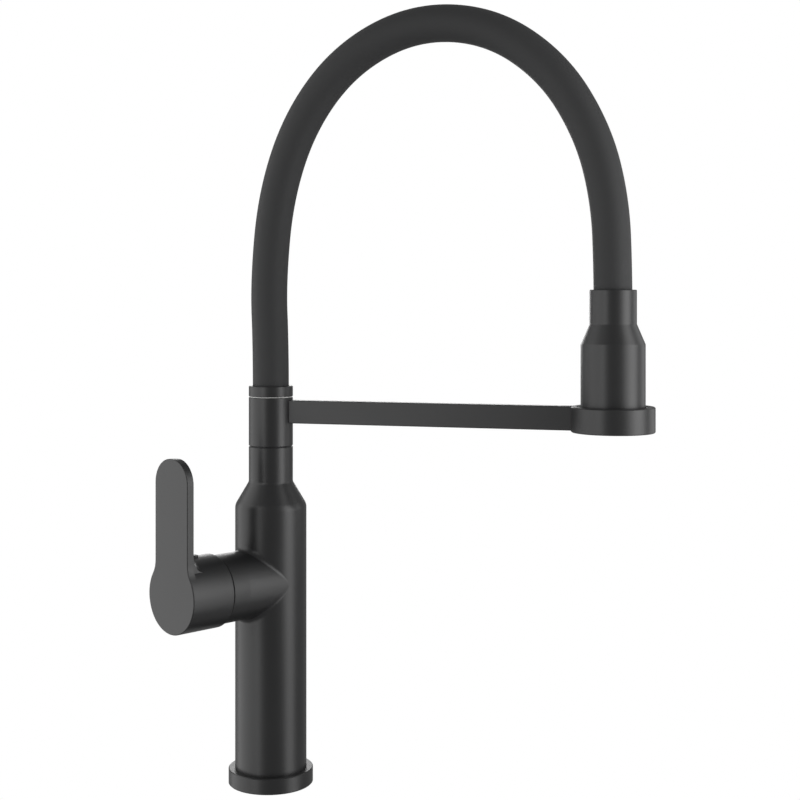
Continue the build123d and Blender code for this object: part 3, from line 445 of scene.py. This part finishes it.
@dataclass
class HoseArch:
    """The hose arch: the silicone sleeve, and the water hose inside it."""

    arm: Arm
    sleeve_radius: float = 0.01165
    water_radius: float = 0.0070
    sleeve_length: float = 0.530
    water_length: float = 0.542
    rounding: float = 0.0006
    step: float = 0.0025
    columns: int = 64
    spline_steps: int = 24
    blend_from: float = 0.02
    blend_to: float = 0.2215
    blend_height: float = 0.42
    # (distance from the column's axis, height) of the route's points
    route: tuple = (
        (0.0000, 0.2510),
        (0.0000, 0.2820),
        (-0.0018, 0.3227),
        (0.0036, 0.3800),
        (0.0214, 0.4290),
        (0.0530, 0.4666),
        (0.0976, 0.4867),
        (0.1456, 0.4819),
        (0.1850, 0.4541),
        (0.2094, 0.4135),
        (0.2198, 0.3716),
        (0.2215, 0.3280),
        (0.2215, 0.3030),
    )
    water_start: tuple = (0.0, 0.246)
    water_end: tuple = (0.2215, 0.296)

    def line(self, route: tuple) -> np.ndarray:
        """The smooth line of a route.

        Args:
            route: (distance, height) points, the control points of the spline.

        Returns:
            Points at even steps along the spline, array (rows, 3).
        """
        curve = bpy.data.curves.new("route", "CURVE")
        curve.dimensions = "3D"
        curve.resolution_u = self.spline_steps
        spline = curve.splines.new("NURBS")
        spline.points.add(len(route) - 1)
        for point, (along, height) in zip(spline.points, route):
            point.co = (*self.arm.point(along, height), 1.0)
        spline.order_u = 3
        spline.use_endpoint_u = True
        holder = bpy.data.objects.new("route", curve)
        mesh = bpy.data.meshes.new_from_object(holder)
        co = np.empty(len(mesh.vertices) * 3)
        mesh.vertices.foreach_get("co", co)
        bpy.data.objects.remove(holder)
        bpy.data.curves.remove(curve)
        bpy.data.meshes.remove(mesh)
        return evened(co.reshape(-1, 3), self.step)

    def tube(self, name: str, route: tuple, radius: float) -> tuple[bpy.types.Object, np.ndarray]:
        """A round tube along a route, its ends rounded over.

        Args:
            name: the piece's name.
            route: (distance, height) points.
            radius: the tube's outer radius.

        Returns:
            The piece, and the line that it follows.
        """
        line = self.line(route)
        radii = np.full(len(line), radius)
        radii[0] -= self.rounding
        radii[-1] -= self.rounding
        points = tube_points(line, self.arm.side(), radii, self.columns)
        return grid_object(name, points), line

    def build(self, finishes: dict[Slot, bpy.types.Material]) -> None:
        """Make both hoses along the arch from the spout to the spray head."""
        sleeve, line = self.tube("hose_sleeve", self.route, self.sleeve_radius)
        water_route = (self.water_start, *self.route[1:-1], self.water_end)
        water, water_line = self.tube("water_hose", water_route, self.water_radius)
        for piece, slot, node in (
            (sleeve, Slot.SILICONE, "silicone_hose"),
            (water, Slot.BLACK_PLASTIC, "inner_water_hose"),
        ):
            dress(piece, finishes[slot])
            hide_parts(node)
            tuple(self.arm.point(self.blend_from, self.blend_height))
            tuple(self.arm.point(self.blend_to, self.blend_height))
            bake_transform(piece)
        LOG.info("sleeve %.3f m, water hose %.3f m", self.sleeve_length, self.water_length)


@dataclass
class CadPieces:
    """The pieces that keep their CAD shape and get a finish."""

    def build(self, finishes: dict[Slot, bpy.types.Material]) -> None:
        """Dress every CAD node in its slot's finish."""
        for entry in frame["record"]["subparts"]:
            node = frame["nodes"][entry["node"]]
            dress(node, finishes[Slot(entry["material_slot"])])
            LOG.info("%s: %s", entry["node"], entry["material_slot"])


# ---- studio -------------------------------------------------------------------------------------
@dataclass(frozen=True)
class Softbox:
    """A soft light's place round the tap, its size in metres and its power in watts.

    The turn is in degrees from the camera's side, positive to the camera's right.
    """

    name: str
    turn: float
    distance: float
    width: float
    height: float
    lift: float
    power: float


@dataclass
class Studio:
    """A pale floor, soft light from both sides and the level camera."""

    camera_place: tuple = (-0.6027, -0.7187, 0.3119)
    camera_turn: float = -45.10
    lens: float = 64.886
    drop: float = -0.1254
    sensor: float = 36.0
    farthest: float = 50.0
    floor_size: float = 60.0
    world_fill: float = 0.30
    middle: tuple = (0.03, -0.06, 0.26)
    softboxes: tuple = (
        Softbox(
            "left_softbox", turn=-94.0, distance=1.2, width=1.8,
            height=2.0, lift=0.35, power=15.2,
        ),
        Softbox(
            "front_softbox", turn=-44.0, distance=1.3, width=0.45,
            height=1.8, lift=0.35, power=5.2,
        ),
        Softbox(
            "right_softbox", turn=62.0, distance=0.85, width=0.50,
            height=1.8, lift=0.35, power=6.0,
        ),
        Softbox(
            "head_softbox", turn=53.0, distance=0.50, width=0.30,
            height=0.45, lift=0.30, power=0.70,
        ),
        Softbox(
            "rim_softbox", turn=102.0, distance=0.52, width=0.22,
            height=0.45, lift=0.32, power=0.3,
        ),
        Softbox(
            "back_strip", turn=180.0, distance=1.3, width=0.8,
            height=0.35, lift=0.42, power=3.2,
        ),
    )

    def build(self) -> None:
        """Make the floor, the world, the lights and the camera."""
        self.floor()
        self.world()
        for box in self.softboxes:
            self.softbox(box)
        self.camera()

    def floor(self) -> None:
        """A plain white floor that throws nothing back on the tap."""
        half = self.floor_size / 2
        corners = [(-half, -half, 0.0), (half, -half, 0.0), (half, half, 0.0), (-half, half, 0.0)]
        mesh = bpy.data.meshes.new("floor")
        mesh.from_pydata(corners, [], [(0, 1, 2, 3)])
        floor = bpy.data.objects.new("floor", mesh)
        bpy.context.scene.collection.objects.link(floor)
        g = Graph("floor_white")
        clear = g.node("ShaderNodeBsdfTransparent")
        white = g.node("ShaderNodeEmission", {}, {"Color": (1.0, 1.0, 1.0, 1.0), "Strength": 1.0})
        seen = g.out(g.node("ShaderNodeLightPath"), "Is Camera Ray")
        mixed = g.node("ShaderNodeMixShader", {}, {"Fac": seen, 1: g.out(clear), 2: g.out(white)})
        g.node("ShaderNodeOutputMaterial", {}, {"Surface": g.out(mixed)})
        dress(floor, g.material)

    def world(self) -> None:
        """White to the camera and dim to the tap, so that the softboxes shape its highlights."""
        world = bpy.data.worlds.new("studio")
        bpy.context.scene.world = world
        world.use_nodes = True
        tree = world.node_tree
        tree.nodes.clear()
        path = tree.nodes.new("ShaderNodeLightPath")
        strength = tree.nodes.new("ShaderNodeMath")
        strength.operation = "MULTIPLY_ADD"
        strength.inputs[1].default_value = 1.0 - self.world_fill
        strength.inputs[2].default_value = self.world_fill
        background = tree.nodes.new("ShaderNodeBackground")
        output = tree.nodes.new("ShaderNodeOutputWorld")
        tree.links.new(path.outputs["Is Camera Ray"], strength.inputs[0])
        tree.links.new(strength.outputs[0], background.inputs["Strength"])
        tree.links.new(background.outputs[0], output.inputs["Surface"])
        background.inputs["Color"].default_value = (1.0, 1.0, 1.0, 1.0)

    def softbox(self, box: Softbox) -> None:
        """A rectangular light that faces the tap.

        Args:
            box: its place, size and power.
        """
        angle = math.atan2(self.camera_place[1], self.camera_place[0]) + math.radians(box.turn)
        place = Vector(self.middle) + Vector((math.cos(angle), math.sin(angle), 0.0)) * box.distance
        place.z = box.lift
        data = bpy.data.lights.new(box.name, "AREA")
        data.shape = "RECTANGLE"
        data.size = box.width
        data.size_y = box.height
        data.energy = box.power
        light = bpy.data.objects.new(box.name, data)
        light.location = place
        aim = Vector((self.middle[0], self.middle[1], box.lift)) - place
        light.rotation_euler = aim.to_track_quat("-Z", "Y").to_euler()
        light.visible_camera = False
        bpy.context.scene.collection.objects.link(light)

    def camera(self) -> None:
        """The level camera, its frame dropped to hold the whole tap."""
        data = bpy.data.cameras.new("camera")
        data.lens = self.lens
        data.sensor_width = self.sensor
        data.shift_y = self.drop
        data.clip_end = self.farthest
        camera = bpy.data.objects.new("camera", data)
        camera.location = self.camera_place
        camera.rotation_euler = (math.pi / 2, 0.0, math.radians(self.camera_turn))
        bpy.context.scene.collection.objects.link(camera)
        bpy.context.scene.camera = camera
        bpy.context.scene.view_settings.view_transform = "Standard"


def main() -> None:
    """Build the tap's looks and the studio."""
    logging.basicConfig(level=logging.INFO)
    finishes = make_finishes()
    arm = Arm()
    CadPieces().build(finishes)
    HoseArch(arm).build(finishes)
    Studio().build()


if __name__ == "__main__":
    main()
